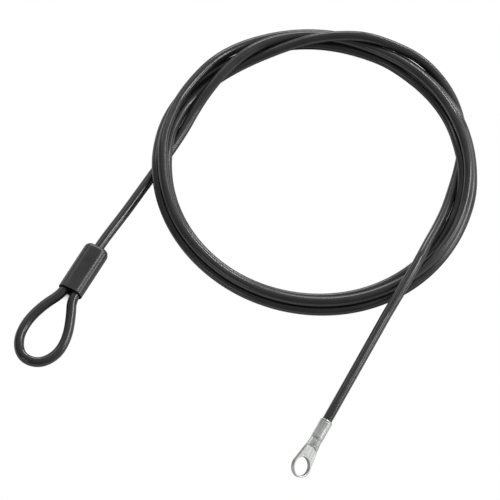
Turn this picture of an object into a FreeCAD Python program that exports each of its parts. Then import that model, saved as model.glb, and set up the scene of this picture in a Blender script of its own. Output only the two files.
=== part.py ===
import FreeCAD, Part
import math
import os

import Sketcher
from FreeCAD import Placement, Rotation, Vector

# Looped cable of a bicycle lock: a plastic-covered steel cable laid in three and a half loose
# turns, one end bent back into an eye and held in a moulded cover, the other end in a crimped
# eyelet lug. It lies on a flat surface at z = 0.
# Millimetres throughout, +Z up, +Y away from the lug.

os.makedirs("parts", exist_ok=True)
doc = FreeCAD.newDocument("cable_lock")

# Driving dimensions
DIMENSIONS = [
    ("cable_dia", 6.0),
    ("rope_dia", 4.0),
    ("strand_spacing", 7.1),
    ("rest_height", 3.0),
    ("least_gap", 0.4),
    ("cover_length", 34.0),
    ("cover_width", 15.4),
    ("cover_height", 10.0),
    ("cover_corner", 4.4),
    ("cover_dome", 3.4),
    ("lip_bevel", 0.7),
    ("mouth_width", 13.8),
    ("mouth_height", 6.6),
    ("mouth_depth", 6.0),
    ("leg_offset", 3.4),
    ("socket_length", 3.0),
    ("seat_clearance", 0.1),
    ("ferrule_length", 16.0),
    ("ferrule_width", 12.2),
    ("ferrule_height", 5.8),
    ("barrel_dia", 7.6),
    ("barrel_length", 12.6),
    ("barrel_bore", 6.2),
    ("barrel_bevel", 0.5),
    ("neck_length", 6.0),
    ("neck_end_height", 4.0),
    ("neck_end_corner", 1.6),
    ("palm_width", 13.4),
    ("palm_heel", 9.4),
    ("palm_thick", 2.4),
    ("palm_reach", 13.2),
    ("eyelet_dia", 11.4),
    ("palm_bevel", 0.4),
    ("cable_grip", 11.0),
    ("rope_sidestep", 7.0),
    ("rope_slip", 0.02),
    ("overlap", 0.01),
    ("cut_past", 1.0),
]
sheet = doc.addObject("Spreadsheet::Sheet", "Dimensions")
for row, (alias, size) in enumerate(DIMENSIONS, start=1):
    sheet.set("A%d" % row, alias)
    sheet.set("B%d" % row, str(size))
    sheet.setAlias("B%d" % row, alias)
doc.recompute()


def size_of(alias):
    """The present value of a driving dimension."""
    return float(sheet.get(alias))


CABLE_RADIUS = size_of("cable_dia") / 2
SPACING = size_of("strand_spacing")
REST = size_of("rest_height")
LEG = size_of("leg_offset")

# Frames of the two end fittings: the cover's starts at its open mouth with +X towards the closed
# end, the lug's at its barrel mouth with +X towards the eyelet and +Z square to its flat palm
COVER_MOUTH = Vector(-144.7, -82.7, 5.0)
COVER_HEADING = 60.5
LUG_MOUTH = Vector(7.2, -173.1, 10.9)
LUG_HEADING = -118.8
LUG_PITCH = 9.0
LUG_ROLL = -50.0
cover_frame = Placement(COVER_MOUTH, Rotation(Vector(0, 0, 1), COVER_HEADING))
lug_turn = Rotation(Vector(0, 0, 1), LUG_HEADING) * Rotation(Vector(0, 1, 0), LUG_PITCH)
lug_frame = Placement(LUG_MOUTH, lug_turn * Rotation(Vector(1, 0, 0), LUG_ROLL))

# Lay of the loops: angle in degrees counted clockwise from +X as seen from above, distance from
# the middle and height of the cable's centre. Four passes go over the far side, three over the near.
LAY = [
    (205, 82.0, 3.0), (215, 81.5, 6.0), (222, 81.5, 9.5), (230, 82.5, 11.5), (241, 85.5, 12.5),
    (250, 89.0, 10.0), (258, 89.5, 9.5), (265, 90.0, 9.0), (275, 90.0, 8.5), (290, 88.5, 9.0),
    (300, 88.5, 9.5), (310, 88.0, 12.0), (330, 88.5, 14.0), (345, 90.0, 15.5), (360, 92.0, 14.5),
    (375, 94.0, 12.0), (390, 94.5, 9.5), (410, 94.5, 9.0), (430, 93.5, 8.5), (450, 91.5, 8.5),
    (480, 89.0, 8.5), (500, 88.0, 9.0), (510, 88.5, 9.5), (525, 90.0, 13.0), (540, 89.5, 16.0),
    (550, 89.5, 15.5), (560, 90.5, 12.0), (567, 92.0, 9.5), (585, 92.0, 9.5), (595, 93.0, 7.0),
    (601, 94.5, 4.5), (610, 94.5, 3.0), (625, 93.5, 3.0), (650, 92.5, 3.0), (660, 92.0, 4.0),
    (680, 91.5, 6.0), (695, 91.5, 9.0), (705, 92.0, 9.5), (720, 94.0, 6.5), (735, 94.5, 3.0),
    (750, 95.5, 3.0), (770, 96.5, 3.0), (790, 96.0, 3.0), (810, 94.0, 3.0), (830, 92.0, 3.0),
    (850, 91.0, 3.0), (870, 91.5, 3.0), (880, 92.5, 5.5), (890, 93.5, 9.0), (897, 93.5, 10.0),
    (903, 93.5, 9.5), (910, 93.5, 8.0), (920, 94.0, 4.0), (927, 94.0, 3.0), (935, 93.0, 3.0),
    (945, 91.5, 3.0), (955, 90.0, 3.0), (970, 88.5, 3.0), (1000, 86.5, 3.0), (1050, 87.0, 3.0),
    (1060, 87.0, 5.5), (1070, 87.0, 9.0), (1080, 88.0, 8.5), (1095, 89.0, 3.5), (1120, 88.5, 3.0),
    (1150, 87.5, 3.0), (1170, 86.0, 3.0), (1190, 85.0, 3.0), (1225, 85.0, 3.0), (1240, 87.0, 5.5),
    (1250, 87.5, 9.0), (1260, 88.0, 9.5), (1270, 88.0, 9.5), (1277, 88.0, 7.0), (1284, 88.5, 3.5),
    (1295, 87.5, 3.0), (1305, 86.5, 3.0), (1315, 84.5, 4.5), (1325, 83.0, 7.0), (1335, 83.0, 8.5),
    (1340, 84.0, 10.5), (1345, 84.0, 12.5), (1350, 84.5, 15.0), (1356, 86.5, 15.5), (1366, 89.0, 15.5),
    (1371, 90.0, 15.5), (1376, 92.0, 14.0), (1381, 94.0, 12.0), (1386, 96.0, 8.5), (1392, 97.5, 4.5),
    (1398, 98.0, 3.0), (1405, 97.0, 3.0), (1415, 94.0, 3.0), (1430, 89.0, 3.0), (1440, 85.5, 3.0),
    (1450, 83.5, 3.0), (1460, 82.5, 4.0), (1465, 83.0, 5.5), (1470, 84.0, 8.5), (1475, 86.5, 13.0),
    (1480, 89.0, 16.0), (1485, 92.0, 17.8), (1490, 96.0, 18.2), (1495, 100.5, 17.5), (1500, 106.0, 16.0),
]
# The straight stretch that comes from the cover and passes under the loops
ENTRY_START = Vector(-103.8, -14.8, 3.3)
ENTRY_END = Vector(-79.4, 24.0, 3.0)
ENTRY_ANGLES = (170, 195)
# Where the cable leaves the loops towards the lug
EXIT_POINT = Vector(41.9, -105.4, 14.4)
EXIT_FREE_ANGLE = 1462
LAY_STEP = 5
SETTLE_ROUNDS = 300
SETTLE_FINISH = 30
SMOOTH = 0.4
PULL = 0.04
# Angles of the corners that the loops' path is rounded at, closer together where strands cross
FIRST_CORNER = 210
LAST_CORNER = 1490
CORNER_STEP = 20
EXTRA_CORNERS = [220, 680, 700, 900, 1400, 1420]
CORNER_ANGLES = sorted(list(range(FIRST_CORNER, LAST_CORNER + 1, CORNER_STEP)) + EXTRA_CORNERS)
CORNER_SHARE = 0.45
CORNER_ROUNDS = 4
# Straight stretches before and after the points where the free runs meet the loops and the lug
ENTRY_LEAD = 16.0
COVER_LEAD = 6.0
EXIT_LEAD = 4.0
LUG_LEAD = 8.0
# Where the eye's two legs leave the cover's mouth, measured back from it
EYE_LEAD = 3.0
EYE_RETURN_LEAD = 4.0
# Spacing of the points that the least gap is measured on, and how far along the cable two
# stretches lie before they count as different turns
GAP_SAMPLE = 1.5
SAME_STRETCH = 5


def point_on_lay(angle, radius, height):
    """World point of a place given by clockwise angle, radius and height."""
    turn = math.radians(angle)
    return Vector(radius * math.cos(turn), -radius * math.sin(turn), height)


def entry_place(angle):
    """Angle, radius and height at which the entry stretch crosses the given angle."""
    turn = math.radians(angle)
    across = Vector(math.sin(turn), math.cos(turn), 0)
    run = ENTRY_END - ENTRY_START
    share = -ENTRY_START.dot(across) / run.dot(across)
    place = ENTRY_START + run * share
    return (angle, math.hypot(place.x, place.y), place.z)


def planned(keys, angle):
    """Radius and height of the lay at an angle, straight between the keys."""
    for before, after in zip(keys, keys[1:]):
        if before[0] <= angle <= after[0]:
            share = (angle - before[0]) / (after[0] - before[0])
            return [before[c] + share * (after[c] - before[c]) for c in (1, 2)]


def settled_loops():
    """The lay with its strands pushed apart until each clears the ones beside and under it."""
    first, last = ENTRY_ANGLES
    keys = [entry_place(angle) for angle in range(first, last + 1, LAY_STEP)] + LAY
    angles = list(range(first, LAY[-1][0] + 1, LAY_STEP))
    plan = [planned(keys, angle) for angle in angles]
    held = [angle <= last or angle > EXIT_FREE_ANGLE for angle in angles]
    nodes = [list(place) for place in plan]
    count = len(nodes)
    per_turn = 360 // LAY_STEP
    for turn in range(SETTLE_ROUNDS):
        if turn <= SETTLE_ROUNDS - SETTLE_FINISH:
            before = [list(place) for place in nodes]
            for i in range(1, count - 1):
                for c in (0, 1):
                    if not held[i]:
                        middle = (before[i - 1][c] + before[i + 1][c]) / 2
                        nodes[i][c] += SMOOTH * (middle - before[i][c]) + PULL * (plan[i][c] - before[i][c])
        slope = [0.0] * count
        for i in range(1, count - 1):
            slope[i] = (nodes[i + 1][0] - nodes[i - 1][0]) / (2 * math.radians(LAY_STEP) * nodes[i][0])
        slope[0] = slope[1]
        slope[-1] = slope[-2]
        for i in range(count):
            for j in range(i + per_turn, count, per_turn):
                skew = 1 / math.sqrt(1 + (slope[i] - slope[j]) ** 2)
                out = (nodes[j][0] - nodes[i][0]) * skew
                rise = nodes[j][1] - nodes[i][1]
                apart = math.hypot(out, rise)
                if apart < SPACING:
                    push = (SPACING - apart) / apart
                    share_i = 0.0 if held[i] else (1.0 if held[j] else 0.5)
                    share_j = 0.0 if held[j] else (1.0 if held[i] else 0.5)
                    nodes[i][0] -= share_i * push * out / skew
                    nodes[i][1] -= share_i * push * rise
                    nodes[j][0] += share_j * push * out / skew
                    nodes[j][1] += share_j * push * rise
        for place in nodes:
            place[1] = max(place[1], REST)
    return [(angle, place[0], place[1]) for angle, place in zip(angles, nodes)]


def corner_arc(before, corner, after):
    """Start, top, end and radius of the tangent arc at a corner, as large as its two runs allow."""
    into = (corner - before).normalize()
    out = (after - corner).normalize()
    turn = into.getAngle(out)
    room = CORNER_SHARE * min((corner - before).Length, (after - corner).Length)
    radius = room / math.tan(turn / 2)
    a = corner - into * room
    b = corner + out * room
    inward = ((a + b) * 0.5 - corner).normalize()
    return a, corner + inward * (radius / math.cos(turn / 2) - radius), b, radius


def corners_through(places):
    """Corners pushed out so that the rounded path passes the places, and none is under the rest height."""
    corners = [Vector(place) for place in places]
    for turn in range(CORNER_ROUNDS):
        tops = [corner_arc(*corners[i - 1:i + 2])[1] for i in range(1, len(corners) - 1)]
        for i in range(2, len(corners) - 2):
            corners[i] = corners[i] + places[i] - tops[i - 1]
            corners[i].z = max(corners[i].z, REST)
    return corners


def tube(edges, diameter):
    """A round solid swept along a tangent path."""
    wire = Part.Wire(edges)
    first = edges[0]
    start = first.valueAt(first.FirstParameter)
    way = first.tangentAt(first.FirstParameter)
    ring = Part.Wire([Part.Circle(start, way, diameter / 2).toShape()])
    shape = wire.makePipeShell([ring], True, False)
    if shape.Volume < 0:
        shape.reverse()
    return shape


def rounded_path(points, name):
    """Straight runs joined by tangent arcs."""
    edges = []
    radii = []
    at = points[0]
    for before, corner, after in zip(points, points[1:], points[2:]):
        a, top, b, radius = corner_arc(before, corner, after)
        radii.append(round(radius, 1))
        edges.append(Part.LineSegment(at, a).toShape())
        edges.append(Part.Arc(a, top, b).toShape())
        at = b
    edges.append(Part.LineSegment(at, points[-1]).toShape())
    print(name, "arc radii", radii)
    return edges


def add_feature(name, shape):
    """A sub-part whose shape comes from Part's own functions."""
    feature = doc.addObject("Part::Feature", name)
    feature.Label = name
    feature.Shape = shape
    return feature


def section_check(name, shape, edges, diameter):
    """Compares a tube's volume with its section times its length."""
    length = sum(edge.Length for edge in edges)
    wanted = math.pi * diameter ** 2 / 4 * length
    print(name, "length", round(length, 1), "volume", round(shape.Volume, 1),
          "section x length", round(wanted, 1))


# Loops of the cable
loops = {place[0]: place for place in settled_loops()}
lug_lead = lug_frame.multVec(Vector(-LUG_LEAD, 0, 0))
exit_way = (lug_lead - EXIT_POINT).normalize()
coil_places = [ENTRY_START, ENTRY_END]
coil_places += [point_on_lay(*loops[angle]) for angle in CORNER_ANGLES]
coil_places += [EXIT_POINT - exit_way * EXIT_LEAD, EXIT_POINT]
loop_edges = rounded_path(corners_through(coil_places), "cable_coil")


def least_self_gap(edges, diameter):
    """Least gap between stretches of the path that are more than a few diameters apart."""
    places = []
    along = 0.0
    for edge in edges:
        steps = max(2, int(edge.Length / GAP_SAMPLE))
        for k in range(steps):
            share = edge.FirstParameter + (edge.LastParameter - edge.FirstParameter) * k / steps
            places.append((along + edge.Length * k / steps, edge.valueAt(share)))
        along += edge.Length
    cells = {}
    cell = 2 * diameter
    for index, (travel, p) in enumerate(places):
        cells.setdefault((int(p.x // cell), int(p.y // cell)), []).append(index)
    least = (math.inf, None)
    for index, (travel, p) in enumerate(places):
        cx, cy = int(p.x // cell), int(p.y // cell)
        for dx in (-1, 0, 1):
            for dy in (-1, 0, 1):
                for other in cells.get((cx + dx, cy + dy), []):
                    if other > index and places[other][0] - travel > SAME_STRETCH * diameter:
                        apart = p.distanceToPoint(places[other][1])
                        if apart < least[0]:
                            least = (apart, p)
    spot = [round(v) for v in least[1]]
    print("coil least gap", round(least[0] - diameter, 2), "at", spot, "length", round(along, 1))
    return least[0] - diameter


if least_self_gap(loop_edges, 2 * CABLE_RADIUS) < size_of("least_gap"):
    raise RuntimeError("the loops come too near each other")
coil_shape = tube(loop_edges, 2 * CABLE_RADIUS)
section_check("cable_coil", coil_shape, loop_edges, 2 * CABLE_RADIUS)
coil = add_feature("cable_coil", coil_shape)

# Free stretch from the cover to the loops
cover_exit = size_of("cover_length")
entry_way = (ENTRY_END - ENTRY_START).normalize()
entry_points = [
    cover_frame.multVec(Vector(cover_exit - size_of("socket_length"), 0, 0)),
    cover_frame.multVec(Vector(cover_exit + COVER_LEAD, 0, 0)),
    ENTRY_START - entry_way * ENTRY_LEAD,
    ENTRY_START,
]
entry_edges = rounded_path(entry_points, "cable_run_to_eye")
entry_run = add_feature("cable_run_to_eye", tube(entry_edges, 2 * CABLE_RADIUS))
section_check("cable_run_to_eye", entry_run.Shape, entry_edges, 2 * CABLE_RADIUS)

# Free stretch from the loops into the lug's barrel
lug_points = [EXIT_POINT, lug_lead, lug_frame.multVec(Vector(size_of("cable_grip"), 0, 0))]
lug_edges = rounded_path(lug_points, "cable_run_to_lug")
lug_run = add_feature("cable_run_to_lug", tube(lug_edges, 2 * CABLE_RADIUS))
section_check("cable_run_to_lug", lug_run.Shape, lug_edges, 2 * CABLE_RADIUS)

# Eye: out of the cover's mouth, round and back in beside itself
mouth_depth = size_of("mouth_depth")
eye_points = [
    cover_frame.multVec(Vector(mouth_depth, LEG, 0)),
    cover_frame.multVec(Vector(-EYE_LEAD, LEG, 0)),
    Vector(-160.0, -91.0, 4.6),
    Vector(-170.0, -101.5, 4.0),
    Vector(-175.5, -114.0, 3.5),
    Vector(-173.5, -126.0, 3.3),
    Vector(-163.0, -130.5, 3.2),
    Vector(-152.0, -124.5, 3.3),
    Vector(-146.0, -112.5, 3.7),
    Vector(-144.0, -98.0, 4.3),
    cover_frame.multVec(Vector(-EYE_RETURN_LEAD, -LEG, 0)),
    cover_frame.multVec(Vector(mouth_depth, -LEG, 0)),
]
eye_edges = rounded_path(eye_points, "eye_loop")
eye = add_feature("eye_loop", tube(eye_edges, 2 * CABLE_RADIUS))
section_check("eye_loop", eye.Shape, eye_edges, 2 * CABLE_RADIUS)

# Bare wire rope inside the ferrule: one end stops there, the other bends to the cover's axis
rope_start = mouth_depth
rope_turn = rope_start + size_of("ferrule_length")
rope_points = [
    cover_frame.multVec(Vector(rope_start, LEG, 0)),
    cover_frame.multVec(Vector(rope_turn, LEG, 0)),
    cover_frame.multVec(Vector(rope_turn + size_of("rope_sidestep"), 0, 0)),
    cover_frame.multVec(Vector(cover_exit - size_of("socket_length"), 0, 0)),
]
rope_edges = rounded_path(rope_points, "rope_through_ferrule")
rope_live = add_feature("rope_through_ferrule", tube(rope_edges, size_of("rope_dia")))
section_check("rope_through_ferrule", rope_live.Shape, rope_edges, size_of("rope_dia"))
rope_dead = doc.addObject("Part::Cylinder", "rope_end_in_ferrule")
rope_dead.Label = "rope_end_in_ferrule"
rope_dead.setExpression("Radius", "Dimensions.rope_dia / 2")
rope_dead.setExpression("Height", "Dimensions.ferrule_length")
rope_dead.Placement = cover_frame * Placement(Vector(mouth_depth, -LEG, 0), Rotation(Vector(0, 1, 0), 90))


def new_body(name):
    """An empty body with a label of its own."""
    body = doc.addObject("PartDesign::Body", name)
    body.Label = name
    return body


def sketch_on(body, role, name, offset=None):
    """A sketch on one of the body's own origin planes, moved along its normal by a bound offset."""
    sketch = body.newObject("Sketcher::SketchObject", name)
    plane = [item for item in body.Origin.OriginFeatures if item.Role == role][0]
    sketch.AttachmentSupport = [(plane, "")]
    sketch.MapMode = "FlatFace"
    if offset:
        sketch.setExpression("AttachmentOffset.Base.z", offset)
    return sketch


def bind(sketch, constraint, expression):
    """Adds a driving constraint and binds its value to the sheet."""
    index = sketch.addConstraint(constraint)
    sketch.setExpression("Constraints[%d]" % index, expression)


def rounded_outline(sketch, width, height, corner):
    """A rectangle with four equal rounded corners about the sketch's origin; the first sizes are
    only a start that the constraints pull to the bound ones."""
    w, h, r = 6.0, 4.0, 1.0
    z = Vector(0, 0, 1)
    quarter = math.pi / 2
    arcs = []
    for k, (x, y) in enumerate(((w, h), (-w, h), (-w, -h), (w, -h))):
        ring = Part.Circle(Vector(x, y, 0), z, r)
        arcs.append(sketch.addGeometry(Part.ArcOfCircle(ring, k * quarter, (k + 1) * quarter)))
    lines = []
    for a, b in (
        (Vector(w, h + r, 0), Vector(-w, h + r, 0)),
        (Vector(-w - r, h, 0), Vector(-w - r, -h, 0)),
        (Vector(-w, -h - r, 0), Vector(w, -h - r, 0)),
        (Vector(w + r, -h, 0), Vector(w + r, h, 0)),
    ):
        lines.append(sketch.addGeometry(Part.LineSegment(a, b)))
    for k in range(4):
        sketch.addConstraint(Sketcher.Constraint("Tangent", arcs[k], 2, lines[k], 1))
        sketch.addConstraint(Sketcher.Constraint("Tangent", lines[k], 2, arcs[(k + 1) % 4], 1))
    for k in range(1, 4):
        sketch.addConstraint(Sketcher.Constraint("Equal", arcs[0], arcs[k]))
    for k in (0, 2):
        sketch.addConstraint(Sketcher.Constraint("Horizontal", lines[k]))
        sketch.addConstraint(Sketcher.Constraint("Vertical", lines[k + 1]))
    sketch.addConstraint(Sketcher.Constraint("Symmetric", arcs[0], 3, arcs[2], 3, -1, 1))
    bind(sketch, Sketcher.Constraint("Radius", arcs[0], r), corner)
    bind(sketch, Sketcher.Constraint("DistanceX", lines[1], 1, lines[3], 2, 2 * (w + r)), width)
    bind(sketch, Sketcher.Constraint("DistanceY", lines[2], 1, lines[0], 2, 2 * (h + r)), height)


def slot_outline(sketch, width, height):
    """A slot of two half circles and two straight sides about the sketch's origin."""
    half, r = 4.0, 2.0
    z = Vector(0, 0, 1)
    quarter = math.pi / 2
    right_ring = Part.Circle(Vector(half, 0, 0), z, r)
    left_ring = Part.Circle(Vector(-half, 0, 0), z, r)
    right = sketch.addGeometry(Part.ArcOfCircle(right_ring, -quarter, quarter))
    left = sketch.addGeometry(Part.ArcOfCircle(left_ring, quarter, 3 * quarter))
    top = sketch.addGeometry(Part.LineSegment(Vector(half, r, 0), Vector(-half, r, 0)))
    low = sketch.addGeometry(Part.LineSegment(Vector(-half, -r, 0), Vector(half, -r, 0)))
    sketch.addConstraint(Sketcher.Constraint("Tangent", right, 2, top, 1))
    sketch.addConstraint(Sketcher.Constraint("Tangent", top, 2, left, 1))
    sketch.addConstraint(Sketcher.Constraint("Tangent", left, 2, low, 1))
    sketch.addConstraint(Sketcher.Constraint("Tangent", low, 2, right, 1))
    sketch.addConstraint(Sketcher.Constraint("Horizontal", top))
    sketch.addConstraint(Sketcher.Constraint("Horizontal", low))
    sketch.addConstraint(Sketcher.Constraint("Symmetric", right, 3, left, 3, -1, 1))
    bind(sketch, Sketcher.Constraint("Radius", right, r), "(%s) / 2" % height)
    bind(sketch, Sketcher.Constraint("DistanceX", left, 3, right, 3, 2 * half), "%s - (%s)" % (width, height))


def ring_outline(sketch, x, y, diameter):
    """A circle whose centre is bound across and up from the sketch's origin."""
    ring = sketch.addGeometry(Part.Circle(Vector(1.0, 1.0, 0), Vector(0, 0, 1), 1.5))
    bind(sketch, Sketcher.Constraint("Radius", ring, 1.5), "(%s) / 2" % diameter)
    if x is None:
        sketch.addConstraint(Sketcher.Constraint("PointOnObject", ring, 3, -2))
    else:
        bind(sketch, Sketcher.Constraint("DistanceX", -1, 1, ring, 3, 1.0), x)
    if y is None:
        sketch.addConstraint(Sketcher.Constraint("PointOnObject", ring, 3, -1))
    else:
        bind(sketch, Sketcher.Constraint("DistanceY", -1, 1, ring, 3, 1.0), y)


def pad(body, sketch, name, length, both_ways=False):
    """A pad of a bound length."""
    feature = body.newObject("PartDesign::Pad", name)
    feature.Profile = sketch
    feature.Midplane = both_ways
    feature.setExpression("Length", length)
    return feature


def pocket(body, sketch, name, depth):
    """A pocket of a bound depth along the sketch's normal, checked to remove material."""
    doc.recompute()
    volume = body.Shape.Volume
    feature = body.newObject("PartDesign::Pocket", name)
    feature.Profile = sketch
    feature.Reversed = True
    feature.setExpression("Length", depth)
    doc.recompute()
    if body.Shape.Volume > volume - 1.0:
        raise RuntimeError(name + " removes nothing")
    return feature


def edges_where(shape, test, somewhere):
    """Names of a shape's edges whose sampled points all pass a test, and one of them a second test."""
    names = []
    for index, edge in enumerate(shape.Edges, start=1):
        span = edge.LastParameter - edge.FirstParameter
        points = [edge.valueAt(edge.FirstParameter + span * share) for share in (0.0, 0.25, 0.5, 0.75, 1.0)]
        if all(test(p) for p in points) and any(somewhere(p) for p in points):
            names.append("Edge%d" % index)
    return names


def dress_edges(body, kind, name, size, test, somewhere=lambda p: True):
    """A fillet or chamfer of bound size on the edges of the body's present tip that pass the tests."""
    doc.recompute()
    base = body.Tip
    names = edges_where(base.Shape, test, somewhere)
    if not names:
        raise RuntimeError(name + " finds no edge")
    feature = body.newObject("PartDesign::" + kind, name)
    feature.Base = (base, names)
    feature.setExpression({"Fillet": "Radius", "Chamfer": "Size"}[kind], size)
    return feature


# Moulded cover over the ferrule: a flat rounded bar, domed where the cable leaves, open at the mouth
cover = new_body("sleeve_cover")
cover_sketch = sketch_on(cover, "YZ_Plane", "CoverSection")
rounded_outline(cover_sketch, "Dimensions.cover_width", "Dimensions.cover_height", "Dimensions.cover_corner")
pad(cover, cover_sketch, "CoverBar", "Dimensions.cover_length")
cover_end = size_of("cover_length")
dress_edges(cover, "Fillet", "CoverDome", "Dimensions.cover_dome", lambda p: abs(p.x - cover_end) < 1e-6)
dress_edges(cover, "Chamfer", "CoverLip", "Dimensions.lip_bevel", lambda p: abs(p.x) < 1e-6)
mouth_sketch = sketch_on(cover, "YZ_Plane", "MouthSection")
slot_outline(mouth_sketch, "Dimensions.mouth_width", "Dimensions.mouth_height")
pocket(cover, mouth_sketch, "Mouth", "Dimensions.mouth_depth")
seat_sketch = sketch_on(cover, "YZ_Plane", "FerruleSeatSection",
                        "Dimensions.mouth_depth - Dimensions.overlap")
slot_outline(seat_sketch, "Dimensions.ferrule_width + 2 * Dimensions.seat_clearance",
             "Dimensions.ferrule_height + 2 * Dimensions.seat_clearance")
pocket(cover, seat_sketch, "FerruleSeat", "Dimensions.ferrule_length + Dimensions.seat_clearance")
throat_sketch = sketch_on(cover, "YZ_Plane", "RopeThroatSection",
                          "Dimensions.mouth_depth + Dimensions.ferrule_length")
slot_outline(throat_sketch, "2 * Dimensions.leg_offset + Dimensions.rope_dia + 2 * Dimensions.seat_clearance",
             "Dimensions.rope_dia + 2 * Dimensions.seat_clearance")
pocket(cover, throat_sketch, "RopeThroat",
       "Dimensions.cover_length - Dimensions.socket_length"
       " - Dimensions.mouth_depth - Dimensions.ferrule_length")
socket_sketch = sketch_on(cover, "YZ_Plane", "CableSocketSection",
                          "Dimensions.cover_length - Dimensions.socket_length - Dimensions.overlap")
ring_outline(socket_sketch, None, None, "Dimensions.cable_dia + 2 * Dimensions.seat_clearance")
pocket(cover, socket_sketch, "CableSocket", "Dimensions.socket_length + Dimensions.cut_past")
cover.Placement = cover_frame

# Oval ferrule crimped round the two rope lengths
ferrule = new_body("crimp_ferrule")
ferrule_sketch = sketch_on(ferrule, "YZ_Plane", "FerruleSection")
slot_outline(ferrule_sketch, "Dimensions.ferrule_width", "Dimensions.ferrule_height")
ring_outline(ferrule_sketch, "Dimensions.leg_offset", None, "Dimensions.rope_dia + Dimensions.rope_slip")
pad(ferrule, ferrule_sketch, "FerruleBar", "Dimensions.ferrule_length")
second_sketch = sketch_on(ferrule, "YZ_Plane", "SecondHoleSection")
ring_outline(second_sketch, "-Dimensions.leg_offset", None, "Dimensions.rope_dia + Dimensions.rope_slip")
pocket(ferrule, second_sketch, "SecondHole", "Dimensions.ferrule_length")
ferrule.Placement = cover_frame * Placement(Vector(size_of("mouth_depth"), 0, 0), Rotation())

# Eyelet lug: a round barrel that grips the cable, a flattened neck and a flat palm with its hole
lug = new_body("eyelet_lug")
palm_sketch = sketch_on(lug, "XY_Plane", "PalmSection")
tip_ring = Part.Circle(Vector(32, 0, 0), Vector(0, 0, 1), 6.7)
tip = palm_sketch.addGeometry(Part.ArcOfCircle(tip_ring, -1.72, 1.72))
upper = palm_sketch.addGeometry(Part.LineSegment(Vector(31, 6.6, 0), Vector(19, 4.7, 0)))
heel = palm_sketch.addGeometry(Part.LineSegment(Vector(19, 4.7, 0), Vector(19, -4.7, 0)))
lower = palm_sketch.addGeometry(Part.LineSegment(Vector(19, -4.7, 0), Vector(31, -6.6, 0)))
palm_sketch.addConstraint(Sketcher.Constraint("Tangent", tip, 2, upper, 1))
palm_sketch.addConstraint(Sketcher.Constraint("Coincident", upper, 2, heel, 1))
palm_sketch.addConstraint(Sketcher.Constraint("Coincident", heel, 2, lower, 1))
palm_sketch.addConstraint(Sketcher.Constraint("Tangent", lower, 2, tip, 1))
palm_sketch.addConstraint(Sketcher.Constraint("Symmetric", heel, 1, heel, 2, -1))
palm_sketch.addConstraint(Sketcher.Constraint("PointOnObject", tip, 3, -1))
bind(palm_sketch, Sketcher.Constraint("Radius", tip, 6.7), "Dimensions.palm_width / 2")
bind(palm_sketch, Sketcher.Constraint("DistanceY", heel, 2, heel, 1, 9.4), "Dimensions.palm_heel")
bind(palm_sketch, Sketcher.Constraint("DistanceX", -1, 1, heel, 1, 19.0),
     "Dimensions.barrel_length + Dimensions.neck_length")
bind(palm_sketch, Sketcher.Constraint("DistanceX", -1, 1, tip, 3, 32.0),
     "Dimensions.barrel_length + Dimensions.neck_length + Dimensions.palm_reach")
ring_outline(palm_sketch, "Dimensions.barrel_length + Dimensions.neck_length + Dimensions.palm_reach",
             None, "Dimensions.eyelet_dia")
pad(lug, palm_sketch, "Palm", "Dimensions.palm_thick", both_ways=True)
neck_end = size_of("barrel_length") + size_of("neck_length")
palm_half = size_of("palm_thick") / 2
dress_edges(lug, "Chamfer", "PalmEdges", "Dimensions.palm_bevel",
            lambda p: abs(abs(p.z) - palm_half) < 1e-4, lambda p: p.x > neck_end + 1e-4)
barrel_sketch = sketch_on(lug, "XZ_Plane", "BarrelSection")
corners = [(0, 3.1), (0, 3.8), (12.6, 3.8), (12.6, 0), (11.2, 0), (11.2, 3.1)]
sides = []
for (x1, y1), (x2, y2) in zip(corners, corners[1:] + corners[:1]):
    sides.append(barrel_sketch.addGeometry(Part.LineSegment(Vector(x1, y1, 0), Vector(x2, y2, 0))))
for k in range(6):
    barrel_sketch.addConstraint(Sketcher.Constraint("Coincident", sides[k], 2, sides[(k + 1) % 6], 1))
for k in (0, 2, 4):
    barrel_sketch.addConstraint(Sketcher.Constraint("Vertical", sides[k]))
for k in (1, 5):
    barrel_sketch.addConstraint(Sketcher.Constraint("Horizontal", sides[k]))
barrel_sketch.addConstraint(Sketcher.Constraint("PointOnObject", sides[0], 1, -2))
barrel_sketch.addConstraint(Sketcher.Constraint("PointOnObject", sides[3], 1, -1))
barrel_sketch.addConstraint(Sketcher.Constraint("PointOnObject", sides[3], 2, -1))
bind(barrel_sketch, Sketcher.Constraint("DistanceY", -1, 1, sides[0], 1, 3.1), "Dimensions.barrel_bore / 2")
bind(barrel_sketch, Sketcher.Constraint("DistanceY", -1, 1, sides[0], 2, 3.8), "Dimensions.barrel_dia / 2")
bind(barrel_sketch, Sketcher.Constraint("DistanceX", -1, 1, sides[3], 1, 12.6), "Dimensions.barrel_length")
bind(barrel_sketch, Sketcher.Constraint("DistanceX", -1, 1, sides[3], 2, 11.2),
     "Dimensions.cable_grip + Dimensions.seat_clearance")
barrel = lug.newObject("PartDesign::Revolution", "Barrel")
barrel.Profile = barrel_sketch
barrel.ReferenceAxis = (barrel_sketch, ["H_Axis"])
barrel.Angle = 360.0
barrel_round = size_of("barrel_dia") / 2
dress_edges(lug, "Chamfer", "BarrelLip", "Dimensions.barrel_bevel",
            lambda p: abs(p.x) < 1e-6 and math.hypot(p.y, p.z) > barrel_round - 0.1)
round_sketch = sketch_on(lug, "YZ_Plane", "NeckRoundSection", "Dimensions.barrel_length")
rounded_outline(round_sketch, "Dimensions.barrel_dia", "Dimensions.barrel_dia - Dimensions.overlap",
                "Dimensions.barrel_dia / 2 - Dimensions.overlap")
flat_sketch = sketch_on(lug, "YZ_Plane", "NeckFlatSection",
                        "Dimensions.barrel_length + Dimensions.neck_length")
rounded_outline(flat_sketch, "Dimensions.palm_heel", "Dimensions.neck_end_height",
                "Dimensions.neck_end_corner")
neck = lug.newObject("PartDesign::AdditiveLoft", "Neck")
neck.Profile = round_sketch
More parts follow.
